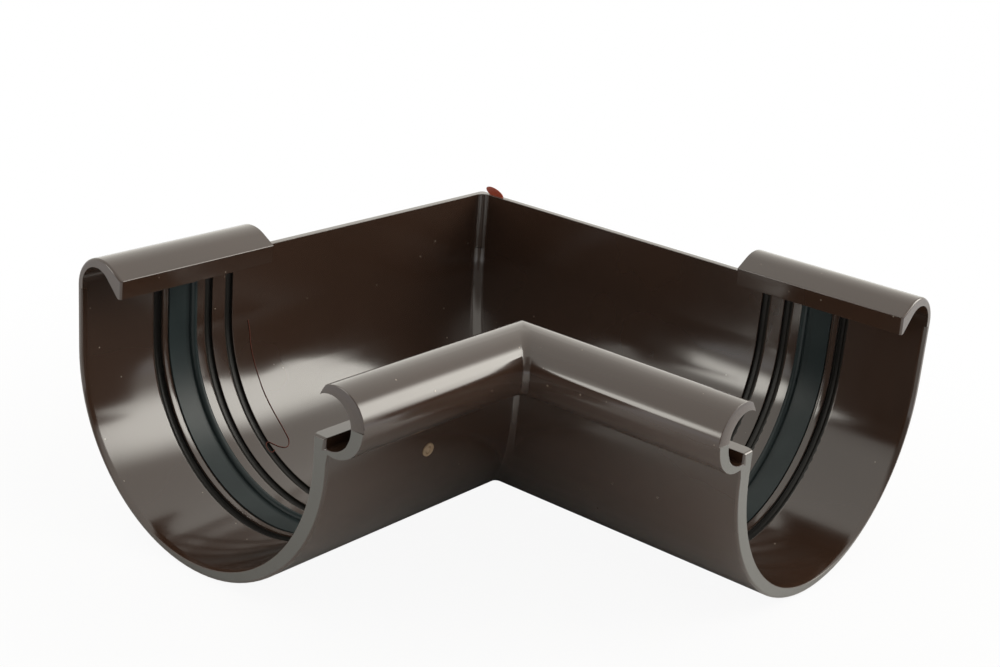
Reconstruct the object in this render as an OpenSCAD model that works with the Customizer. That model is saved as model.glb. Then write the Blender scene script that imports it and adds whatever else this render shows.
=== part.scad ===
// Internal angle for a half-round gutter: one moulded body of two equal arms at a right angle,
// with a rubber seal strip pressed into the socket of each arm.
// The arms lie along +X and +Y, the straight back walls are on the outside of the bend, and the
// curled front bead is on its inside. The part rests on the round floors of its arms.

/* [Arms] */
// Length of an arm along its back wall, from the outer corner to the open end
arm_len = 188.9; // [175:0.1:230]
// Height of the straight back wall above the lowest point
back_h = 74.6; // [70:0.1:90]
// Height of the front wall's free edge above the lowest point
front_h = 61.2; // [60:0.1:66]

/* [Gutter section] */
// Radius of the half-round bore that takes the gutter
bore_r = 50; // [46:0.1:52]
// Thickness of the back wall
back_t = 2.4; // [2.2:0.1:3.2]
// Thickness of the floor at its lowest point
floor_t = 3.2; // [3:0.1:3.6]
// Thickness of the front wall below the bead
front_t = 6; // [5:0.1:8]
// Distance of the outside's lowest line from the back wall's outer face
keel_u = 55; // [54:0.1:55.5]
// Thickness of the front wall's free edge, beside the cup of the bead
edge_t = 5; // [3.5:0.1:5.8]

/* [Front bead] */
// Outer radius of the bead
bead_r = 10.5; // [10:0.1:11.5]
// Distance of the bead's centre outside the front wall's outer face
bead_out = 2.2; // [1:0.1:3]
// Height of the bead's centre above the front wall's free edge
bead_up = 5.7; // [5:0.1:6.5]
// Radius of the hollow inside the bead
cup_r = 8.1; // [7:0.1:8.4]
// Distance of the hollow's centre from the bead's centre, towards the channel
cup_in = 2; // [0.5:0.1:2.2]
// Distance of the hollow's centre below the bead's centre
cup_down = 0.6; // [0:0.1:1]
// Angle of the beak's tip round the hollow, from the outward direction
beak_angle = 122; // [100:1:135]
// Lean of the beak's blunt face from the vertical
beak_lean = 30; // [15:1:45]
// Radius to which the upper half of the bead's end is domed
bead_dome_r = 20; // [10:1:30]
// Width of the domed ring, in from the bead's outside
bead_dome_w = 4; // [3:0.1:4.5]

/* [Back clip] */
// Length of the clip along the arm, from the open end
clip_len = 60.7; // [50:0.1:80]
// Outer radius of the clip's arch
arch_r = 10.6; // [9.6:0.1:11.2]
// Height of the arch's centre above the back wall's free edge
arch_up = 1; // [0.5:0.1:2]
// Radius of the hollow under the arch
vault_r = 6.8; // [6:0.1:7.4]
// Height of the hollow's centre above the back wall's free edge
vault_up = 1.7; // [1:0.1:2.4]
// Distance from the back wall's outer face to the lip's outer face
lip_reach = 20.9; // [20.4:0.1:24]
// Height of the lip's upper corner above the back wall's free edge
lip_top_up = 7.3; // [6.8:0.1:9]
// Height of the lip's tip above the back wall's free edge
lip_up = 1.4; // [0.2:0.1:2.5]
// Thickness of the lip's tip
lip_t = 1.6; // [1:0.1:2.2]
// Distance by which the lip's tip stands back from its upper corner
lip_lean = 0.3; // [0:0.1:1.5]

/* [Socket] */
// Length of the lead-in chamfer at the open end
lead_len = 2; // [1:0.1:4]
// Depth of the lead-in chamfer at the open end
lead_t = 0.7; // [0.3:0.1:1]
// Distance of the guide rib from the open end
rib_at = 30.6; // [28:0.1:31]
// Width of the guide rib
rib_w = 1.8; // [1:0.1:2.4]
// Height of the guide rib above the bore
rib_h = 0.6; // [0.3:0.1:1.2]
// Distance of the first drip groove from the open end
groove_at = 47.9; // [46:0.1:60]
// Spacing of the two drip grooves
groove_pitch = 8.7; // [7:0.1:14]
// Width of each groove
groove_w = 3.8; // [3:0.1:5]
// Depth of each groove
groove_t = 1.1; // [0.4:0.1:1.2]
// Radius by which the bore curves down into each groove, on the side of the open end
groove_r = 2.4; // [2:0.1:4]

/* [Seal] */
// Distance of the seal's channel from the open end
seal_at = 33.4; // [33.2:0.1:34]
// Width of the seal and of its channel
seal_w = 11.2; // [10:0.1:12]
// Depth of the seal's channel in the wall
seal_t = 0.9; // [0.6:0.1:1.1]
// Width of the seal's flat band
band_w = 6.7; // [5:0.1:7]
// Height of the band above the bore
band_h = 0.45; // [0.2:0.05:0.8]
// Width of the seal's lip
seal_lip_w = 2.4; // [1.6:0.1:2.6]
// Height of the seal's lip above the bore
seal_lip_h = 1.5; // [1.3:0.1:2]
// Distance of the seal's ends below the free edges of the walls
seal_drop = 1.5; // [0.8:0.1:3]

/* [Corner] */
// Radius of the fillet between the two back walls
back_fillet = 3.5; // [2:0.1:6]

/* [Hidden] */
$fn = 96;

// The section lies in u, the distance in from the back wall's outer face, and z, the height
bore_u = back_t + bore_r;
bore_z = floor_t + bore_r;
front_in = back_t + 2 * bore_r;
front_out = front_in + front_t;
keel_r = front_out - keel_u;
bead_u = front_out + bead_out;
bead_z = front_h + bead_up;
cup_u = bead_u - cup_in;
cup_z = bead_z - cup_down;
arch_z = back_h + arch_up;
top_h = arch_z + arch_r;
slack = 1;
far = 2 * arm_len;
body_colour = "#3a2a22";
rubber_colour = "#2e363b";

// Point on a circle of radius r round c, at the angle a
function around(c, r, a) = c + r * [cos(a), sin(a)];

// Angle at which a line from the point p, passing over a circle of radius r round c, touches it
function touch_angle(c, r, p) =
    atan2(p[1] - c[1], p[0] - c[0]) + acos(r / norm(p - c));

// Quarter of a disc of radius r round the middle, from the angle a on
module quarter(r, a) {
    intersection() {
        circle(r);
        rotate(a) square(r + slack);
    }
}

// Wall section: an outer and an inner half round with straight walls above them. The outer one
// has a quarter of its own on each side of its lowest line
module trough_section() {
    difference() {
        union() {
            translate([keel_u, keel_u]) quarter(keel_u, 180);
            translate([keel_u, keel_r]) quarter(keel_r, 270);
            translate([0, keel_u]) square([back_t, back_h - keel_u]);
            translate([keel_u, keel_r]) square([keel_r, front_h - keel_r]);
        }
        translate([bore_u, bore_z]) circle(bore_r);
        translate([back_t, bore_z]) square([2 * bore_r, front_out]);
    }
}

// Solid of the bead and of the wall's edge beside it, before the hollow and the mouth are cut
module bead_solid_section() {
    intersection() {
        translate([bead_u, bead_z]) circle(bead_r);
        translate([front_in, 0]) square([far, far]);
    }
}

// The mouth between the wall's free edge and the beak, open towards the channel
module bead_mouth_section() {
    tip = around([cup_u, cup_z], cup_r, beak_angle);
    rise = 2 * bead_r;
    polygon([
        [bore_u, front_h],
        [cup_u, front_h],
        [cup_u, cup_z],
        tip,
        [tip[0] + rise * tan(beak_lean), tip[1] + rise],
        [bore_u, tip[1] + rise]
    ]);
}

// The round hollow, kept off the wall's free edge beside it
module cup_section() {
    difference() {
        translate([cup_u, cup_z]) circle(cup_r);
        translate([front_in, 0]) square([edge_t, front_h]);
    }
}

module arm_section() {
    difference() {
        union() {
            trough_section();
            bead_solid_section();
        }
        cup_section();
        bead_mouth_section();
    }
}

// Clip section: the wall carried up, over an arch, down a sloping roof and into a short lip
module clip_section() {
    arch = [arch_r, arch_z];
    vault = [back_t + vault_r, back_h + vault_up];
    lip_top = [lip_reach, back_h + lip_top_up];
    tip_out = [lip_reach - lip_lean, back_h + lip_up];
    tip_in = tip_out - [lip_t, 0];
    roof_angle = touch_angle(arch, arch_r, lip_top);
    ceiling_angle = touch_angle(vault, vault_r, tip_in);
    low = back_h - slack;
    difference() {
        union() {
            translate([0, low]) square([back_t, arch_z - low]);
            translate(arch) quarter(arch_r, 90);
            translate(arch) quarter(arch_r, roof_angle);
            polygon([arch, around(arch, arch_r, roof_angle), lip_top, tip_out, tip_in]);
        }
        translate(vault) circle(vault_r);
        polygon([
            [back_t, low],
            [back_t, vault[1]],
            vault,
            around(vault, vault_r, ceiling_angle),
            tip_in,
            [tip_in[0], low]
        ]);
    }
}

// Turns a section in u and z into a bar along +X, from x = start over the given length
module along_arm(start, length) {
    translate([start, 0, 0]) rotate([90, 0, 90]) linear_extrude(length) children();
}

// Sweeps a profile round the bore: its first coordinate is the distance from the open end, its
// second the height above the bore's wall towards the middle, so a cut has negative heights
module round_bore(front_top, back_top) {
    translate([arm_len, bore_u, bore_z]) rotate([0, -90, 0]) {
        // the half round
        rotate([0, 0, 90]) rotate_extrude(angle = 180)
            translate([bore_r, 0]) mirror([1, 0]) rotate(90) mirror([0, 1]) children();
    }
    // the straight walls above it
    translate([arm_len, back_t, bore_z])
        linear_extrude(back_top - bore_z) mirror([1, 0]) children();
    translate([arm_len, front_in, bore_z])
        linear_extrude(front_top - bore_z) rotate(180) children();
}

module lead_in_profile() {
    polygon([[-slack, 0], [-slack, -lead_t], [0, -lead_t], [lead_len, 0]]);
}

module rib_profile() {
    translate([rib_at, -slack / 2]) square([rib_w, rib_h + slack / 2]);
}

// A groove into which the bore curves down, with a square step up at its inner side
module groove_profile(at) {
    translate([at, 0]) difference() {
        translate([0, -groove_t]) square([groove_w, groove_t]);
        translate([0, -groove_r]) circle(groove_r);
    }
}

module seal_profile() {
    lip_mid = seal_at + seal_w - seal_lip_w / 2;
    translate([seal_at, -seal_t]) square([seal_w, seal_t]);
    translate([seal_at, 0]) square([band_w, band_h]);
    translate([lip_mid - seal_lip_w / 2, 0]) square([seal_lip_w, seal_lip_h - seal_lip_w / 2]);
    translate([lip_mid, seal_lip_h - seal_lip_w / 2]) circle(seal_lip_w / 2);
}

// The half of the plan that belongs to the arm along +X, as far as the mitre
module arm_half() {
    linear_extrude(top_h + slack) polygon([[0, 0], [far, 0], [far, far]]);
}

// Domes the upper half of the bead's end
module bead_dome_cut() {
    translate([arm_len - bead_dome_r, bead_u, bead_z]) rotate([90, 0, 90])
        rotate_extrude(angle = 180) translate([bead_r - bead_dome_w, 0]) difference() {
            square([bead_dome_w + slack, bead_dome_r + slack]);
            circle(bead_dome_r);
        }
}

module arm() {
    seal_front = front_h - seal_drop;
    seal_back = back_h - seal_drop;
    difference() {
        union() {
            intersection() {
                along_arm(0, arm_len) arm_section();
                arm_half();
            }
            along_arm(arm_len - clip_len, clip_len) clip_section();
            round_bore(seal_front, seal_back) rib_profile();
        }
        round_bore(front_h + slack, back_h) lead_in_profile();
        round_bore(seal_front, seal_back) translate([seal_at, -seal_t]) square([seal_w, seal_t]);
        for (at = [rib_at - groove_w, groove_at, groove_at + groove_pitch])
            round_bore(seal_front, seal_back) groove_profile(at);
        bead_dome_cut();
    }
}

// Fillet between the inner faces of the two back walls, above the round floor
module back_corner_fillet() {
    translate([back_t, back_t, bore_z]) linear_extrude(back_h - bore_z) difference() {
        square(back_fillet);
        translate([back_fillet, back_fillet]) circle(back_fillet);
    }
}

// Moves the outer corner's frame to the middle of the part's plan
module centred() {
    translate([-arm_len / 2, -arm_len / 2, 0]) children();
}

// Turns the arm along +X into the one along +Y
module other_arm() {
    mirror([1, -1, 0]) children();
}

module seal() {
    round_bore(front_h - seal_drop, back_h - seal_drop) seal_profile();
}

module angle_body() {
    color(body_colour) centred() {
        arm();
        other_arm() arm();
        back_corner_fillet();
    }
}

module seal_left() {
    color(rubber_colour) centred() seal();
}

module seal_right() {
    color(rubber_colour) centred() other_arm() seal();
}

angle_body();
seal_left();
seal_right();
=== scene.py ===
"""Looks of an internal gutter angle in glossy brown plastic, with a rubber seal in each socket.

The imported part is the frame. Its body is copied, merged and given softly rounded edges, the seals
get the same care, and the small marks that the mould and the bench left are modelled on top.
"""

import math

import bpy
from mathutils import Matrix, Vector


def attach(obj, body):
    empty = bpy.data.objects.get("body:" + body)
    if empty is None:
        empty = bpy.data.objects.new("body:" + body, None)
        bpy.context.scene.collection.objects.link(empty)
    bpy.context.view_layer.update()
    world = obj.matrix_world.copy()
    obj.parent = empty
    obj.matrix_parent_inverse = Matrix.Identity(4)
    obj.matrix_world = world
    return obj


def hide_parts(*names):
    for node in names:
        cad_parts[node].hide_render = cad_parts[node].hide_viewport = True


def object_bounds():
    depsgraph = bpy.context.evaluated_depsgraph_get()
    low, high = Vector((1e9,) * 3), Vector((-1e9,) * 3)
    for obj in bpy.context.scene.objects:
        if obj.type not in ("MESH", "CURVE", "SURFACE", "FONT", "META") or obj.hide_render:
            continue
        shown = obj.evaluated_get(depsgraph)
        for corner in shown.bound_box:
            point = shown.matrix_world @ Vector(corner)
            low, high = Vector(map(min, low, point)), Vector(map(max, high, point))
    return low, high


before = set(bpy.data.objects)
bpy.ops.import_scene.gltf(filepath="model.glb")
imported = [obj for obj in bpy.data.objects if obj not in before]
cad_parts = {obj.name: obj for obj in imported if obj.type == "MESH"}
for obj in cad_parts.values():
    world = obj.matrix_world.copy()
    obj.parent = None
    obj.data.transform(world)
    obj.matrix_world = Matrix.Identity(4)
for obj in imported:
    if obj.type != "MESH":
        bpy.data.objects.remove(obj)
cad_low, cad_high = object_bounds()

MM = 0.001

# The arm's section, as u in from the back wall's outer face and z up from the floor's lowest point
BACK_H = 74.6 * MM
BORE_CENTRE = Vector((52.4, 53.2)) * MM
BORE_R = 50 * MM
VAULT_CENTRE = Vector((9.2, 76.3)) * MM
BEAD_CENTRE = Vector((110.6, 66.9)) * MM
BEAD_R = 10.5 * MM
FRONT_H = 61.2 * MM
FRONT_IN = 102.4 * MM
FRONT_OUT = 108.4 * MM
FRONT_R = 53.4 * MM

# Depth of the bead's domed end, and reach of the fillet in the back corner
DOME_STEP = 0.6 * MM
FILLET_REACH = 6.5 * MM

# Grooves round the bore: where each starts, from the open end, and how wide and deep they are
GROOVE_STARTS = (26.8 * MM, 47.9 * MM, 56.6 * MM)
GROOVE_W = 3.8 * MM
GROOVE_DEPTH = 1.1 * MM

# Roundings, each as its width and its number of segments
BACK_VALLEY_ROUND = (3.5 * MM, 8)
MITRE_ROUND = (1.8 * MM, 4)
OPEN_END_ROUND = (0.8 * MM, 4)
EDGE_ROUND = (0.25 * MM, 2)
SEAL_ROUND = (0.15 * MM, 2)

# Distance within which two places count as one, and how far a chord of the bore lies off its circle
TOUCH = 0.01 * MM
BORE_SLACK = 0.2 * MM
# Least angles at which an edge counts as a mitre and as sharp, and at which shading breaks
MITRE_LIMIT = math.radians(12)
SHARP = math.radians(35)
BODY_CREASE = math.radians(30)
MARK_CREASE = math.radians(40)
# Share of a normal along an axis past which its face counts as turned that way
FACING = 0.5

# The sprue's mark on the left arm's front wall: along the arm, up, and its ring and stub
GATE_S = 147 * MM
GATE_Z = 46 * MM
GATE_RING_R = 1.65 * MM
GATE_RING_T = 0.55 * MM
GATE_STUB_R = 1.1 * MM
GATE_STUB_FLAT = 0.55

# The tongue of flash: its middle along, across and above the wall, its sizes, and its lean
FLASH_S = 7.3 * MM
FLASH_U = 1.2 * MM
FLASH_UP = 1.02 * MM
FLASH_LENGTH = 8.7 * MM
FLASH_HEIGHT = 3.4 * MM
FLASH_T = 0.3 * MM
FLASH_LEAN = 14

# The fibre's radius, and its points: distance along the arm in mm and angle round the bore
FIBRE_R = 0.14 * MM
FIBRE = (
    (121.6, -176), (121.1, -172), (121.2, -167), (121.1, -160), (120.8, -154), (120.7, -148),
    (120.3, -141), (120.0, -135), (120.1, -129), (120.9, -125), (123.2, -123), (125.6, -124),
    (127.4, -126), (129.0, -127.5), (130.6, -125.5), (130.0, -123), (128.4, -123.5),
)

# Colours
BROWN = ((0.045, 0.0240, 0.0155, 1), (0.056, 0.0295, 0.0195, 1))
DUST = (0.40, 0.34, 0.28, 1)
# painted reflection: the open ends' pale grey stands in for the white floor they reflect
PAINTED_END_REFLECTION = (0.088, 0.086, 0.079, 1)
# painted shade: the near black of the grooves' floors stands in for the shade in them
PAINTED_GROOVE_SHADE = (0.0075, 0.0065, 0.0050, 1)
SLATE = ((0.021, 0.032, 0.035, 1), (0.034, 0.049, 0.052, 1))
GATE_TAN = (0.44, 0.31, 0.20)
# painted light: the flash's bright red, far paler than the brown plastic it is made of, stands in
# for light shining through it
FLASH_PAINTED_BACKLIGHT = (0.52, 0.085, 0.04)
FIBRE_RED = (0.20, 0.045, 0.025)
PAPER = (0.92, 0.92, 0.92, 1)
WHITE = (1, 1, 1, 1)
WARM_WHITE = (1.0, 0.975, 0.90, 1)

# Share of the cells of dust that hold no grain
CLEAN_SHARE = 0.78
# Depth over which an open end turns from glossy to its painted reflection, a paler grey, and how far
# across the end it does
PAINTED_REFLECTION_DEPTH = 0.06 * MM
PAINTED_REFLECTION_FROM = 10 * MM
PAINTED_REFLECTION_FULL = 60 * MM
# Depth of a groove's edge that keeps the polish and stays out of the painted shade, and how much
# rougher the rest of the groove is
GROOVE_SKIN = 0.06 * MM
GROOVE_ROUGHER = 0.3
# Share of its colour to which a small mark darkens in its grain
MARK_SHADE = 0.6

# Camera, fitted to the edges of the photographed object. Angles are in degrees
IMAGE_W = 1000
SENSOR_MM = 36.0
FOCAL_PX = 1705.56
CAMERA_AIM = Vector((-37.94, -35.28, 46.56)) * MM
CAMERA_DISTANCE = 588.7 * MM
CAMERA_BEARING = 38.3725
CAMERA_ELEVATION = 20.042
CAMERA_ROLL = 4.792

# The floor's side in metres, the distances from the part over which it turns plain white for the
# camera and in reflections, and how white it is near the part and far off
FLOOR_SIZE = 12
SHADOW_NEAR = 0.13
SHADOW_FAR = 0.30
GLOSS_FAR = 0.55
NEAR_WHITE = 0.93
FAR_GLOSS = 0.9

# The room's dark side lies behind the camera: its middle, its rim, and the share of light there
DARK_BEARING = 38
DARK_ELEVATION = -15
DARK_RIM = (0.2, 0.6)
DARK_SHARE = 0.25
# Strength of the room as a light and in reflections
ROOM_LIGHT = 0.75
ROOM_GLOSS = 1.0

# Soft lights, aimed at a point, which fade from the first to the second distance off their middle
LIGHT_AIM = Vector((0, 0, 0.045))
LIGHT_FADE = (0.2, 0.5)
# Each one's name, bearing, elevation, distance, width, height and brightness
SOFTBOXES = (
    ("key_right", 140, 25, 1.5, 1.45, 1.3, 4.5),
    ("fill_left", -29, 11, 1.5, 0.6, 0.5, 4.5),
)


def direction(bearing, elevation):
    """The unit vector at a bearing from +X and an elevation, both in degrees."""
    a = math.radians(bearing)
    e = math.radians(elevation)
    return Vector((math.cos(e) * math.cos(a), math.cos(e) * math.sin(a), math.sin(e)))


# Modelling


def deselect_all():
    for each in bpy.context.selected_objects:
        each.select_set(False)


def make_active(piece):
    deselect_all()
    piece.select_set(True)
    bpy.context.view_layer.objects.active = piece


def copy_of_node(node, name):
    """A piece of its own with the node's shape, its triangles merged into one clean skin."""
    make_active(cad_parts[node])
    bpy.ops.object.duplicate()
    piece = bpy.context.view_layer.objects.active
    piece.name = name
    piece.data.name = name
    piece.parent = None
    for key in [k for k in piece.keys() if k.startswith("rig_")]:
        del piece[key]
    piece.data.materials.clear()
    make_active(piece)
    bpy.ops.mesh.customdata_custom_splitnormals_clear()
    bpy.ops.object.mode_set(mode="EDIT")
    bpy.ops.mesh.select_all(action="SELECT")
    bpy.ops.mesh.remove_doubles(threshold=0.2 * TOUCH)
    bpy.ops.mesh.dissolve_limited(angle_limit=math.radians(0.05), delimit=set())
    bpy.ops.object.mode_set(mode="OBJECT")
    return piece


def round_picked_edges(piece, picked, rounding):
    """Bevels the edges that picked chooses by their two ends and the normals on both sides."""
    width, segments = rounding
    mesh = piece.data
    make_active(piece)
    bpy.ops.object.mode_set(mode="EDIT")
    bpy.ops.mesh.select_mode(type="EDGE")
    bpy.ops.mesh.select_all(action="DESELECT")
    bpy.ops.object.mode_set(mode="OBJECT")
    beside = {}
    for face in mesh.polygons:
        for key in face.edge_keys:
            beside.setdefault(key, []).append(face.normal.copy())
    for edge in mesh.edges:
        ends = [mesh.vertices[i].co for i in edge.vertices]
        edge.select = picked(ends, beside[edge.key])
    bpy.ops.object.mode_set(mode="EDIT")
    bpy.ops.mesh.bevel(offset=width, segments=segments, affect="EDGES", clamp_overlap=False)
    bpy.ops.object.mode_set(mode="OBJECT")


def on_mitre(ends, normals):
    """Edges in the upright plane between the arms, where their surfaces meet at an angle."""
    in_plane = all(abs(end.x - end.y) < TOUCH for end in ends)
    middle = (ends[0] + ends[1]) / 2
    u = middle.x - cad_low.x
    back_of_bead = middle.z > FRONT_H and FRONT_IN < u < BEAD_CENTRE.x
    return in_plane and not back_of_bead and normals[0].angle(normals[1]) > MITRE_LIMIT


def on_back_valley(ends, normals):
    """The mitre's edges inside, below the fillet of the back corner."""
    middle = (ends[0] + ends[1]) / 2
    place = Vector((middle.x - cad_low.x, middle.z))
    inside = abs((place - BORE_CENTRE).length - BORE_R) < BORE_SLACK
    low_back = place.x < BORE_CENTRE.x and place.y < BORE_CENTRE.y
    return inside and low_back and on_mitre(ends, normals)


def on_open_end(ends, normals):
    """Outer edges of an arm's open end, from the clip's lip round to the front wall."""
    for along, across in ((0, 1), (1, 0)):
        if all(abs(end[along] - cad_high[along]) < TOUCH for end in ends):
            side = min(normals, key=lambda normal: normal[along])
            middle = (ends[0] + ends[1]) / 2
            place = Vector((middle[across] - cad_low[across], middle.z))
            centre = VAULT_CENTRE if place.y > BACK_H else BORE_CENTRE
            outward = Vector((side[across], side.z)).dot(place - centre) > 0
            on_bead = place.x > FRONT_OUT + TOUCH
            under_clip = place.y > BACK_H and side.z < -FACING
            return outward and not on_bead and not under_clip and side[along] < FACING
    return False


def on_sharp_edge(ends, normals):
    """Edges sharper than SHARP, but for the few that have no room to be rounded."""
    if normals[0].angle(normals[1]) < SHARP:
        return False
    for along, across in ((0, 1), (1, 0)):
        if all(cad_high[along] - end[along] < DOME_STEP for end in ends):
            places = [Vector((end[across] - cad_low[across], end.z)) for end in ends]
            on_bead = all(place.x > FRONT_IN - TOUCH and place.y > FRONT_H for place in places)
            outside = all((place - BEAD_CENTRE).length > BEAD_R - TOUCH for place in places)
            beside_step = any(abs(place.y - BEAD_CENTRE.y) < TOUCH for place in places)
            if on_bead and (beside_step or not outside):
                return False
    under_fillet = all(abs(end.z - BORE_CENTRE.y) < TOUCH for end in ends)
    near_corner = all(max(end.x - cad_low.x, end.y - cad_low.y) < FILLET_REACH for end in ends)
    return not (under_fillet and near_corner)


def finish_smooth(piece):
    """Joins what the bevels left doubled and shades the piece smooth between its edges."""
    make_active(piece)
    bpy.ops.object.mode_set(mode="EDIT")
    bpy.ops.mesh.select_all(action="SELECT")
    bpy.ops.mesh.remove_doubles(threshold=TOUCH)
    bpy.ops.object.mode_set(mode="OBJECT")
    bpy.ops.object.shade_smooth_by_angle(angle=BODY_CREASE)
    weighted = piece.modifiers.new("flat_faces_stay_flat", "WEIGHTED_NORMAL")
    weighted.keep_sharp = True
    bpy.ops.object.modifier_apply(modifier=weighted.name)


def settle_mark(piece, name, material):
    """Puts a small mark's place into its mesh and lets it ride on the part."""
    make_active(piece)
    bpy.ops.object.transform_apply(location=True, rotation=True, scale=True)
    piece.name = name
    piece.data.name = name
    piece.data.materials.clear()
    piece.data.materials.append(material)
    bpy.ops.object.shade_smooth_by_angle(angle=MARK_CREASE)
    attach(piece, "root")


# Nodes


def new_material(name):
    """A material, its node tree, its shader, and the socket that gives the place on the object."""
    material = bpy.data.materials.new(name)
    material.use_nodes = True
    tree = material.node_tree
    place = tree.nodes.new("ShaderNodeTexCoord").outputs["Object"]
    return material, tree, tree.nodes["Principled BSDF"], place


def feed(tree, socket, value):
    """Links a socket to another one, or sets it to a plain number or colour."""
    if isinstance(value, bpy.types.NodeSocket):
        tree.links.new(value, socket)
    else:
        socket.default_value = value


def calculate(tree, operation, *values):
    """A math node over sockets and numbers."""
    node = tree.nodes.new("ShaderNodeMath")
    node.operation = operation
    for socket, value in zip(node.inputs, values):
        feed(tree, socket, value)
    return node.outputs["Value"]


def spread(tree, value, source, target=(0, 1), smooth=False):
    """Carries a range of values over to another one and holds it at both ends."""
    node = tree.nodes.new("ShaderNodeMapRange")
    if smooth:
        node.interpolation_type = "SMOOTHSTEP"
    tree.links.new(value, node.inputs["Value"])
    for name, number in zip(("From Min", "From Max", "To Min", "To Max"), source + target):
        node.inputs[name].default_value = number
    return node.outputs["Result"]


def noise(tree, place, scale, detail):
    node = tree.nodes.new("ShaderNodeTexNoise")
    node.inputs["Scale"].default_value = scale
    node.inputs["Detail"].default_value = detail
    tree.links.new(place, node.inputs["Vector"])
    return node.outputs["Fac"]


def split_place(tree, place):
    """The X, Y and Z of a place."""
    split = tree.nodes.new("ShaderNodeSeparateXYZ")
    tree.links.new(place, split.inputs["Vector"])
    return split.outputs


def mix_colours(tree, factor, first, second):
    """A mix of colours, each a socket or a plain colour."""
    mix = tree.nodes.new("ShaderNodeMix")
    mix.data_type = "RGBA"
    tree.links.new(factor, mix.inputs["Factor"])
    feed(tree, mix.inputs["A"], first)
    feed(tree, mix.inputs["B"], second)
    return mix.outputs["Result"]


def mix_shaders(tree, factor, first, second):
    mix = tree.nodes.new("ShaderNodeMixShader")
    tree.links.new(factor, mix.inputs["Fac"])
    tree.links.new(first, mix.inputs[1])
    tree.links.new(second, mix.inputs[2])
    return mix.outputs["Shader"]


def uneven_tone(tree, place, tones, tone_range, scale, detail):
    """A slow change between two tones, from the low to the high end of a noise's range."""
    ramp = tree.nodes.new("ShaderNodeValToRGB")
    for step, tone, position in zip(ramp.color_ramp.elements, tones, tone_range):
        step.position = position
        step.color = tone
    tree.links.new(noise(tree, place, scale, detail), ramp.inputs["Fac"])
    return ramp.outputs["Color"]


# Materials


def dust_mask(tree, place):
    """1 on grains of dust, few and of uneven size, 0 elsewhere."""
    grain = tree.nodes.new("ShaderNodeTexVoronoi")
    grain.inputs["Scale"].default_value = 260
    tree.links.new(place, grain.inputs["Vector"])
    speck = spread(tree, grain.outputs["Distance"], (0.02, 0.09), (1, 0))
    chance = tree.nodes.new("ShaderNodeSeparateColor")
    tree.links.new(grain.outputs["Color"], chance.inputs["Color"])
    rare = calculate(tree, "GREATER_THAN", chance.outputs["Red"], CLEAN_SHARE)
    return calculate(tree, "MULTIPLY", speck, rare)


def painted_end_reflection_mask(tree, place):
    """Painted reflection of the floor on the open ends: 1 on them below the bead's middle, less and
    less towards the back, 0 elsewhere.
    """
    x, y, z = split_place(tree, place)
    outmost = calculate(tree, "MAXIMUM", x, y)
    at_end = spread(tree, outmost, (cad_high.x - PAINTED_REFLECTION_DEPTH, cad_high.x))
    inmost = calculate(tree, "MINIMUM", x, y)
    in_front = spread(tree, inmost, (cad_low.x + PAINTED_REFLECTION_FROM, cad_low.x + PAINTED_REFLECTION_FULL))
    low_down = calculate(tree, "LESS_THAN", z, BEAD_CENTRE.y)
    return calculate(tree, "MULTIPLY", calculate(tree, "MULTIPLY", at_end, low_down), in_front)


def painted_groove_shade_mask(tree, place):
    """Painted shade in the grooves: 1 on what is sunk below the bore in the grooves round it, 0
    elsewhere.
    """
    x, y, z = split_place(tree, place)
    below = calculate(tree, "MINIMUM", calculate(tree, "SUBTRACT", z, BORE_CENTRE.y), 0.0)
    below = calculate(tree, "POWER", below, 2.0)
    total = 0.0
    for along, across in ((x, y), (y, x)):
        aside = calculate(tree, "SUBTRACT", across, cad_low.x + BORE_CENTRE.x)
        aside = calculate(tree, "POWER", aside, 2.0)
        reach = calculate(tree, "SQRT", calculate(tree, "ADD", aside, below))
        sunk = calculate(tree, "GREATER_THAN", reach, BORE_R + GROOVE_SKIN)
        within = calculate(tree, "LESS_THAN", reach, BORE_R + GROOVE_DEPTH + 5 * TOUCH)
        sunk = calculate(tree, "MULTIPLY", sunk, within)
        for start in GROOVE_STARTS:
            middle = cad_high.x - start - GROOVE_W / 2
            near = calculate(tree, "COMPARE", along, middle, GROOVE_W / 2)
            total = calculate(tree, "ADD", calculate(tree, "MULTIPLY", near, sunk), total)
    under_clip = calculate(tree, "LESS_THAN", z, BACK_H)
    return calculate(tree, "MULTIPLY", under_clip, calculate(tree, "MINIMUM", total, 1.0))


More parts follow.
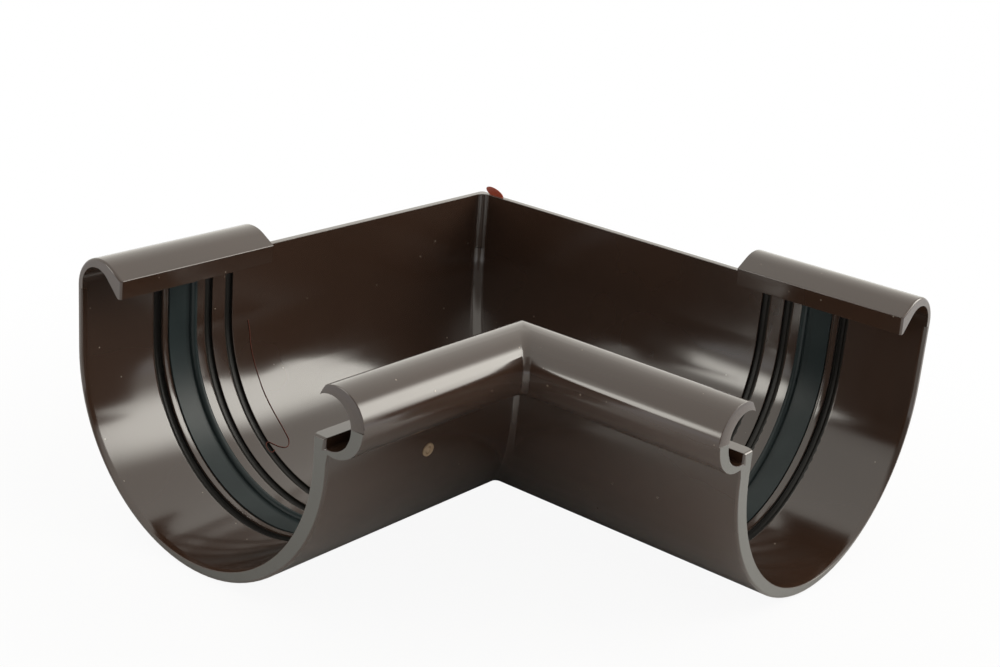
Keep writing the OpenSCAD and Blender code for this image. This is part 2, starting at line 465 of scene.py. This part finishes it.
def brown_plastic():
    """Dark red-brown plastic with a high gloss, a little uneven, with grains of dust on it, a
    painted reflection on its open ends and painted shade in its grooves.
    """
    material, tree, shader, place = new_material("brown_gloss_plastic")
    shader.inputs["IOR"].default_value = 1.5
    shader.inputs["Coat IOR"].default_value = 1.5
    shader.inputs["Coat Roughness"].default_value = 0.13

    # pigment spreads unevenly; the open ends get a paler painted reflection that reads duller, the
    # grooves a near black painted shade and a duller finish
    tone = uneven_tone(tree, place, BROWN, (0.3, 0.7), scale=14, detail=4)
    dusty = mix_colours(tree, dust_mask(tree, place), tone, DUST)
    ends = mix_colours(tree, painted_end_reflection_mask(tree, place), dusty, PAINTED_END_REFLECTION)
    # the grooves get painted shade: a near black base and no coat
    groove = painted_groove_shade_mask(tree, place)
    feed(tree, shader.inputs["Base Color"], mix_colours(tree, groove, ends, PAINTED_GROOVE_SHADE))
    feed(tree, shader.inputs["Coat Weight"], calculate(tree, "SUBTRACT", 1.0, groove))

    # a gloss that is a little duller in patches
    haze = noise(tree, place, scale=45, detail=6)
    gloss = spread(tree, haze, (0.35, 0.75), (0.12, 0.2))
    roughness = calculate(tree, "MULTIPLY_ADD", groove, GROOVE_ROUGHER, gloss)
    feed(tree, shader.inputs["Roughness"], roughness)

    # the faint ripple of a moulded skin
    bump = tree.nodes.new("ShaderNodeBump")
    bump.inputs["Strength"].default_value = 0.06
    bump.inputs["Distance"].default_value = 0.4 * MM
    feed(tree, bump.inputs["Height"], noise(tree, place, scale=60, detail=2))
    feed(tree, shader.inputs["Normal"], bump.outputs["Normal"])
    feed(tree, shader.inputs["Coat Normal"], bump.outputs["Normal"])
    return material


def slate_rubber():
    """Satin slate-black rubber with a faint bloom."""
    material, tree, shader, place = new_material("slate_rubber")
    shader.inputs["Roughness"].default_value = 0.36
    shader.inputs["IOR"].default_value = 1.38
    tone = uneven_tone(tree, place, SLATE, (0.3, 0.75), scale=60, detail=5)
    feed(tree, shader.inputs["Base Color"], tone)
    return material


def mark_material(name, colour, roughness, scale):
    """A colour that varies a little in grains of the given scale."""
    material, tree, shader, place = new_material(name)
    shader.inputs["Roughness"].default_value = roughness
    darker = tuple(MARK_SHADE * part for part in colour)
    grain = noise(tree, place, scale, detail=2)
    feed(tree, shader.inputs["Base Color"], mix_colours(tree, grain, darker + (1,), colour + (1,)))
    return material


def floor_material():
    """White paper. The camera sees it white, all the more so far off, with the soft shadow on it."""
    material, tree, shader, place = new_material("white_paper")
    shader.inputs["Base Color"].default_value = PAPER
    shader.inputs["Roughness"].default_value = 0.9
    glow = tree.nodes.new("ShaderNodeEmission")
    glow.inputs["Color"].default_value = WHITE
    glow.inputs["Strength"].default_value = 1.0
    length = tree.nodes.new("ShaderNodeVectorMath")
    length.operation = "LENGTH"
    tree.links.new(place, length.inputs[0])
    reach = length.outputs["Value"]
    share = spread(tree, reach, (SHADOW_NEAR, SHADOW_FAR), (NEAR_WHITE, 1), smooth=True)
    far_share = spread(tree, reach, (SHADOW_NEAR, GLOSS_FAR), (0, FAR_GLOSS))
    path = tree.nodes.new("ShaderNodeLightPath").outputs
    in_gloss = calculate(tree, "MULTIPLY", path["Is Glossy Ray"], far_share)
    seen = calculate(tree, "MULTIPLY_ADD", path["Is Camera Ray"], share, in_gloss)
    paper = mix_shaders(tree, seen, shader.outputs["BSDF"], glow.outputs["Emission"])
    tree.links.new(paper, tree.nodes["Material Output"].inputs["Surface"])
    return material


# Small marks that the mould and the bench left


def add_gate_mark():
    """The ring and the stub where the sprue was broken off, on the left arm's front wall."""
    lean = math.asin((GATE_Z - FRONT_R) / FRONT_R)
    u = FRONT_OUT - FRONT_R * (1 - math.cos(lean))
    spot = cad_low + Vector((GATE_S, u, GATE_Z))
    turn = (lean - math.radians(90), 0, 0)
    material = mark_material("tan_sprue_mark", GATE_TAN, roughness=0.5, scale=1500)
    deselect_all()
    bpy.ops.mesh.primitive_torus_add(
        location=spot,
        rotation=turn,
        major_radius=GATE_RING_R,
        minor_radius=GATE_RING_T,
        major_segments=36,
        minor_segments=10,
    )
    settle_mark(bpy.context.view_layer.objects.active, "gate_ring", material)
    deselect_all()
    bpy.ops.mesh.primitive_uv_sphere_add(
        location=spot,
        rotation=turn,
        scale=(1, 1, GATE_STUB_FLAT),
        radius=GATE_STUB_R,
        segments=20,
        ring_count=10,
    )
    settle_mark(bpy.context.view_layer.objects.active, "gate_stub", material)


def add_flash():
    """A thin tongue of flash that stands on the top edge of the right arm's back wall, its bright
    red a painted light shining through it.
    """
    deselect_all()
    bpy.ops.mesh.primitive_circle_add(vertices=24, radius=1, fill_type="NGON")
    tongue = bpy.context.view_layer.objects.active
    bpy.ops.object.mode_set(mode="EDIT")
    bpy.ops.mesh.select_all(action="SELECT")
    bpy.ops.transform.resize(value=(FLASH_LENGTH / 2, FLASH_HEIGHT / 2, 1))
    bpy.ops.mesh.extrude_region_move(TRANSFORM_OT_translate={"value": (0, 0, FLASH_T)})
    bpy.ops.mesh.select_all(action="SELECT")
    bpy.ops.mesh.normals_make_consistent(inside=False)
    bpy.ops.object.mode_set(mode="OBJECT")
    tongue.rotation_euler = (math.radians(90), math.radians(FLASH_LEAN), math.radians(90))
    tongue.location = cad_low + Vector((FLASH_U, FLASH_S, BACK_H + FLASH_UP))
    material = mark_material("thin_flash_painted_backlight", FLASH_PAINTED_BACKLIGHT, roughness=0.35, scale=400)
    settle_mark(tongue, "mould_flash", material)


def add_fibre():
    """A stray fibre that clings to the left arm's inner wall."""
    data = bpy.data.curves.new("fibre_path", "CURVE")
    data.dimensions = "3D"
    data.bevel_depth = FIBRE_R
    data.bevel_resolution = 3
    data.use_fill_caps = True
    path = data.splines.new("BEZIER")
    path.bezier_points.add(len(FIBRE) - 1)
    for point, (s, angle) in zip(path.bezier_points, FIBRE):
        a = math.radians(angle)
        u = BORE_CENTRE.x + (BORE_R - FIBRE_R) * math.cos(a)
        z = BORE_CENTRE.y + (BORE_R - FIBRE_R) * math.sin(a)
        point.co = (cad_low.x + s * MM, cad_low.y + u, z)
        point.handle_left_type = "AUTO"
        point.handle_right_type = "AUTO"
    fibre = bpy.data.objects.new("fibre", data)
    bpy.context.scene.collection.objects.link(fibre)
    make_active(fibre)
    bpy.ops.object.convert(target="MESH")
    material = mark_material("red_brown_fibre", FIBRE_RED, roughness=0.6, scale=600)
    settle_mark(bpy.context.view_layer.objects.active, "stray_fibre", material)


# Stage


def add_camera():
    """Places the camera by bearing, elevation, distance and roll round the point it looks at."""
    back = direction(CAMERA_BEARING, CAMERA_ELEVATION)
    level_right = Vector((0, 0, 1)).cross(back).normalized()
    level_up = back.cross(level_right)
    roll = math.radians(CAMERA_ROLL)
    right = math.cos(roll) * level_right + math.sin(roll) * level_up
    up = back.cross(right)
    data = bpy.data.cameras.new("camera")
    data.sensor_width = SENSOR_MM
    data.lens = FOCAL_PX / IMAGE_W * SENSOR_MM
    data.clip_start = 0.01
    data.clip_end = 20
    camera = bpy.data.objects.new("camera", data)
    bpy.context.scene.collection.objects.link(camera)
    rotation = Matrix((right, up, back)).transposed().to_4x4()
    camera.matrix_world = Matrix.Translation(CAMERA_AIM + CAMERA_DISTANCE * back) @ rotation
    bpy.context.scene.camera = camera


def add_floor():
    deselect_all()
    bpy.ops.mesh.primitive_plane_add(size=FLOOR_SIZE, location=(0, 0, 0))
    floor = bpy.context.view_layer.objects.active
    floor.name = "floor"
    floor.data.materials.append(floor_material())


def room(tree, light_side, strength):
    """The room's warm white at a strength, dimmed on its dark side."""
    white = tree.nodes.new("ShaderNodeBackground")
    white.inputs["Color"].default_value = WARM_WHITE
    feed(tree, white.inputs["Strength"], calculate(tree, "MULTIPLY", light_side, strength))
    return white.outputs["Background"]


def add_world():
    """A white studio that is dark behind the camera: brighter in gloss than it is as a light."""
    world = bpy.data.worlds.new("studio")
    bpy.context.scene.world = world
    world.use_nodes = True
    tree = world.node_tree
    sky = tree.nodes.new("ShaderNodeTexCoord").outputs["Generated"]
    towards_dark = tree.nodes.new("ShaderNodeVectorMath")
    towards_dark.operation = "DOT_PRODUCT"
    towards_dark.inputs[1].default_value = direction(DARK_BEARING, DARK_ELEVATION)
    tree.links.new(sky, towards_dark.inputs[0])
    nearness = towards_dark.outputs["Value"]
    light_side = spread(tree, nearness, DARK_RIM, (1, DARK_SHARE), smooth=True)
    path = tree.nodes.new("ShaderNodeLightPath").outputs
    as_light = room(tree, light_side, ROOM_LIGHT)
    in_gloss = room(tree, light_side, ROOM_GLOSS)
    lit = mix_shaders(tree, path["Is Glossy Ray"], as_light, in_gloss)
    backdrop = tree.nodes["Background"]
    backdrop.inputs["Color"].default_value = WHITE
    backdrop.inputs["Strength"].default_value = 1.0
    seen = mix_shaders(tree, path["Is Camera Ray"], lit, backdrop.outputs["Background"])
    tree.links.new(seen, tree.nodes["World Output"].inputs["Surface"])


def add_softbox(name, bearing, elevation, distance, width, height, brightness):
    """A soft light, placed by bearing and elevation round the part, that fades towards its rim."""
    towards = direction(bearing, elevation)
    data = bpy.data.lights.new(name, "AREA")
    data.shape = "RECTANGLE"
    data.size = width
    data.size_y = height
    data.energy = brightness * math.pi * width * height
    light = bpy.data.objects.new(name, data)
    bpy.context.scene.collection.objects.link(light)
    light.location = LIGHT_AIM + distance * towards
    light.rotation_euler = (-towards).to_track_quat("-Z", "Y").to_euler()
    data.use_nodes = True
    tree = data.node_tree
    glow = tree.nodes["Emission"]
    glow.inputs["Color"].default_value = WARM_WHITE
    off_middle = tree.nodes.new("ShaderNodeVectorMath")
    off_middle.operation = "DISTANCE"
    off_middle.inputs[1].default_value = (0.5, 0.5, 0)
    spot = tree.nodes.new("ShaderNodeNewGeometry").outputs["Parametric"]
    tree.links.new(spot, off_middle.inputs[0])
    fade = spread(tree, off_middle.outputs["Value"], LIGHT_FADE, (1, 0), smooth=True)
    tree.links.new(fade, glow.inputs["Strength"])


body_skin = copy_of_node("angle_body", "moulded_body")
round_picked_edges(body_skin, on_back_valley, BACK_VALLEY_ROUND)
round_picked_edges(body_skin, on_mitre, MITRE_ROUND)
round_picked_edges(body_skin, on_open_end, OPEN_END_ROUND)
round_picked_edges(body_skin, on_sharp_edge, EDGE_ROUND)
finish_smooth(body_skin)
body_skin.data.materials.append(brown_plastic())
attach(body_skin, "root")
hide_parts("angle_body")

add_gate_mark()
add_flash()
add_fibre()

rubber = slate_rubber()
for side in ("left", "right"):
    strip = copy_of_node("seal_" + side, "rubber_strip_" + side)
    round_picked_edges(strip, on_sharp_edge, SEAL_ROUND)
    finish_smooth(strip)
    strip.data.materials.append(rubber)
    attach(strip, "root")
    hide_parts("seal_" + side)

bpy.context.scene.view_settings.view_transform = "Standard"
add_camera()
add_floor()
add_world()
for softbox in SOFTBOXES:
    add_softbox(*softbox)
